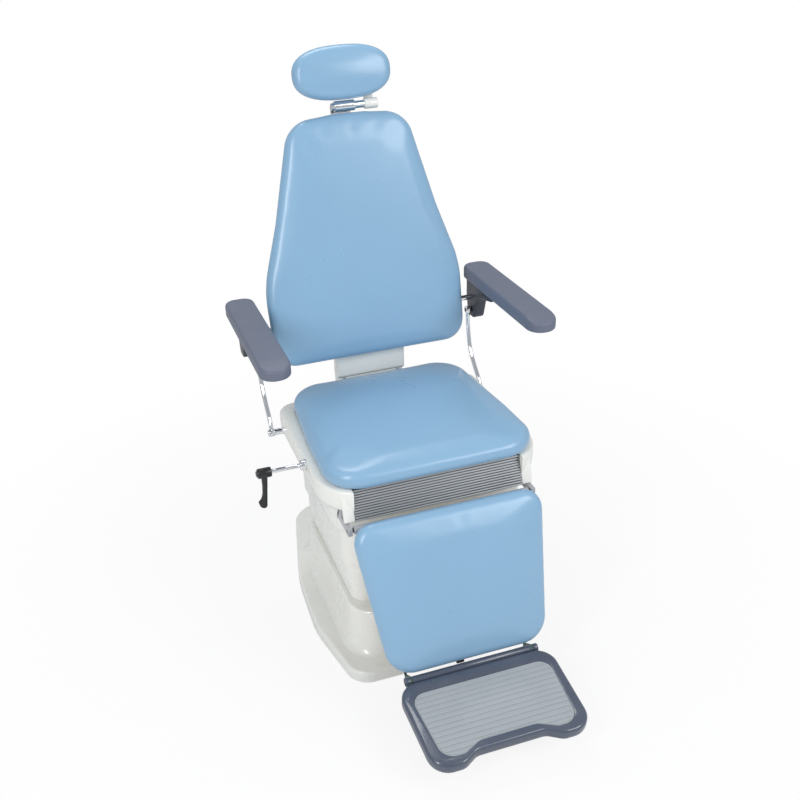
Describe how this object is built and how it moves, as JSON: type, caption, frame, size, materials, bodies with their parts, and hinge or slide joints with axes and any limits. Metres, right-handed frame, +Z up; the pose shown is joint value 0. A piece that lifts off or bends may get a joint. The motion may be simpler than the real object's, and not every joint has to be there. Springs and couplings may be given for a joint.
{
  "type": "ear nose and throat chair",
  "caption": "Powered treatment chair on a telescopic column, with swivel seat, reclining back, level arms, sliding headrest, leg rest and fold-up foot tray.",
  "frame": {"origin": "on the floor, on the axis that the seat turns about", "axes": "+X to the sitter's left, seen from the front to the right; +Y to the rear; +Z up. The chair faces -Y"},
  "size_m": [0.7451, 1.1093, 1.3444],
  "materials": {
    "dark_steel": "satin",
    "ivory_plastic": "gloss",
    "grey_paint": "satin",
    "zinc_steel": "satin",
    "white_nylon": "satin",
    "black_paint": "satin",
    "bearing_steel": "satin",
    "plywood": "matte",
    "blue_vinyl": "soft sheen",
    "ribbed_aluminium": "satin",
    "chrome_steel": "polished",
    "black_plastic": "satin",
    "dark_plastic": "satin",
    "slate_polyurethane": "satin",
    "slate_plastic": "satin",
    "plated_steel": "satin",
    "foot_plastic": "gloss",
    "mat_rubber": "matte"
  },
  "bodies": {
    "base": {"floor_plate": "dark_steel", "base_cover": "ivory_plastic", "column_shroud": "ivory_plastic", "guide_column": "grey_paint", "guide_bolts": "zinc_steel", "guide_pads": "white_nylon", "lift_actuator": "black_paint"},
    "lift": {"inner_column": "zinc_steel", "lift_rod": "zinc_steel", "lift_pin": "dark_steel", "top_plate": "grey_paint", "bearing_outer_ring": "bearing_steel", "upper_skirt": "ivory_plastic"},
    "skirt_middle": {"middle_skirt": "ivory_plastic"},
    "skirt_lower": {"lower_skirt": "ivory_plastic"},
    "seat": {"bearing_inner_ring": "bearing_steel", "seat_frame": "grey_paint", "back_hinge_pin": "zinc_steel", "seat_board": "plywood", "seat_cushion": "blue_vinyl", "seat_housing": "ivory_plastic", "ribbed_panel": "ribbed_aluminium", "panel_screws": "zinc_steel", "link_bracket_left": "chrome_steel", "link_bracket_right": "chrome_steel", "recline_actuator": "black_paint", "lever_boss": "chrome_steel", "leg_hinge_pin": "dark_steel"},
    "lever": {"lever_rod": "chrome_steel", "lever_handle": "black_plastic", "lever_button": "dark_plastic"},
    "back": {"back_frame": "grey_paint", "hinge_cover": "ivory_plastic", "back_board": "plywood", "back_shell": "ivory_plastic", "back_cushion": "blue_vinyl", "arm_pin_left": "chrome_steel", "arm_pin_right": "chrome_steel", "post_guide": "dark_plastic"},
    "post": {"head_post": "chrome_steel"},
    "headrest": {"head_tube": "chrome_steel", "head_lock": "ivory_plastic", "head_shell": "ivory_plastic", "head_cushion": "blue_vinyl"},
    "arm_left": {"arm_pad_left": "slate_polyurethane", "arm_bracket_left": "slate_plastic"},
    "arm_right": {"arm_pad_right": "slate_polyurethane", "arm_bracket_right": "slate_plastic"},
    "link_left": {"link_rod_left": "chrome_steel"},
    "link_right": {"link_rod_right": "chrome_steel"},
    "leg": {"leg_frame": "grey_paint", "leg_board": "plywood", "leg_cushion": "blue_vinyl", "foot_brackets": "plated_steel", "foot_centre_bar": "black_paint"},
    "foot": {"foot_tray": "foot_plastic", "foot_mat": "mat_rubber", "foot_hinge_pins": "zinc_steel"}
  },
  "joints": [
    {"name": "lift", "type": "slide", "parent": "base", "child": "lift", "axis": [0, 0, 1], "range_m": [0, 0.2]},
    {"name": "middle_skirt_rise", "type": "slide", "parent": "base", "child": "skirt_middle", "axis": [0, 0, 1], "range_m": [0, 0.134]},
    {"name": "lower_skirt_rise", "type": "slide", "parent": "base", "child": "skirt_lower", "axis": [0, 0, 1], "range_m": [0, 0.067]},
    {"name": "seat_swivel", "type": "hinge", "parent": "lift", "child": "seat", "pos_m": [0, 0, 0.357], "axis": [0, 0, 1], "range_deg": [-170, 170]},
    {"name": "lock_lever", "type": "hinge", "parent": "seat", "child": "lever", "pos_m": [-0.3, -0.078, 0.495], "axis": [1, 0, 0], "range_deg": [-45, 45]},
    {"name": "back_recline", "type": "hinge", "parent": "seat", "child": "back", "pos_m": [0, 0.168, 0.4882], "axis": [-1, 0, 0], "range_deg": [0, 75]},
    {"name": "link_left_swing", "type": "hinge", "parent": "seat", "child": "link_left", "pos_m": [-0.291, 0.168, 0.4522], "axis": [-1, 0, 0], "range_deg": [0, 75]},
    {"name": "link_right_swing", "type": "hinge", "parent": "seat", "child": "link_right", "pos_m": [0.291, 0.168, 0.4522], "axis": [-1, 0, 0], "range_deg": [0, 75]},
    {"name": "arm_left_level", "type": "hinge", "parent": "back", "child": "arm_left", "pos_m": [-0.312, 0.26417, 0.69182], "axis": [-1, 0, 0], "range_deg": [-75, 0]},
    {"name": "arm_right_level", "type": "hinge", "parent": "back", "child": "arm_right", "pos_m": [0.312, 0.26417, 0.69182], "axis": [-1, 0, 0], "range_deg": [-75, 0]},
    {"name": "head_post_slide", "type": "slide", "parent": "back", "child": "post", "axis": [0, 0.2334, 0.9724], "range_m": [0, 0.12]},
    {"name": "headrest_tilt", "type": "hinge", "parent": "post", "child": "headrest", "pos_m": [0, 0.36182, 1.20264], "axis": [1, 0, 0], "range_deg": [-25, 25]},
    {"name": "leg_raise", "type": "hinge", "parent": "seat", "child": "leg", "pos_m": [0, -0.26845, 0.4217], "axis": [-1, 0, 0], "range_deg": [0, 57]},
    {"name": "foot_fold", "type": "hinge", "parent": "leg", "child": "foot", "pos_m": [0, -0.44403, 0.10918], "axis": [-1, 0, 0], "range_deg": [0, 68]}
  ],
  "couplings": [
    {"joint": "middle_skirt_rise", "follows": "lift", "ratio": 0.66667},
    {"joint": "lower_skirt_rise", "follows": "lift", "ratio": 0.33333},
    {"joint": "link_left_swing", "follows": "back_recline", "ratio": 1},
    {"joint": "link_right_swing", "follows": "back_recline", "ratio": 1},
    {"joint": "arm_left_level", "follows": "back_recline", "ratio": -1},
    {"joint": "arm_right_level", "follows": "back_recline", "ratio": -1},
    {"joint": "leg_raise", "follows": "back_recline", "ratio": 0.76}
  ]
}
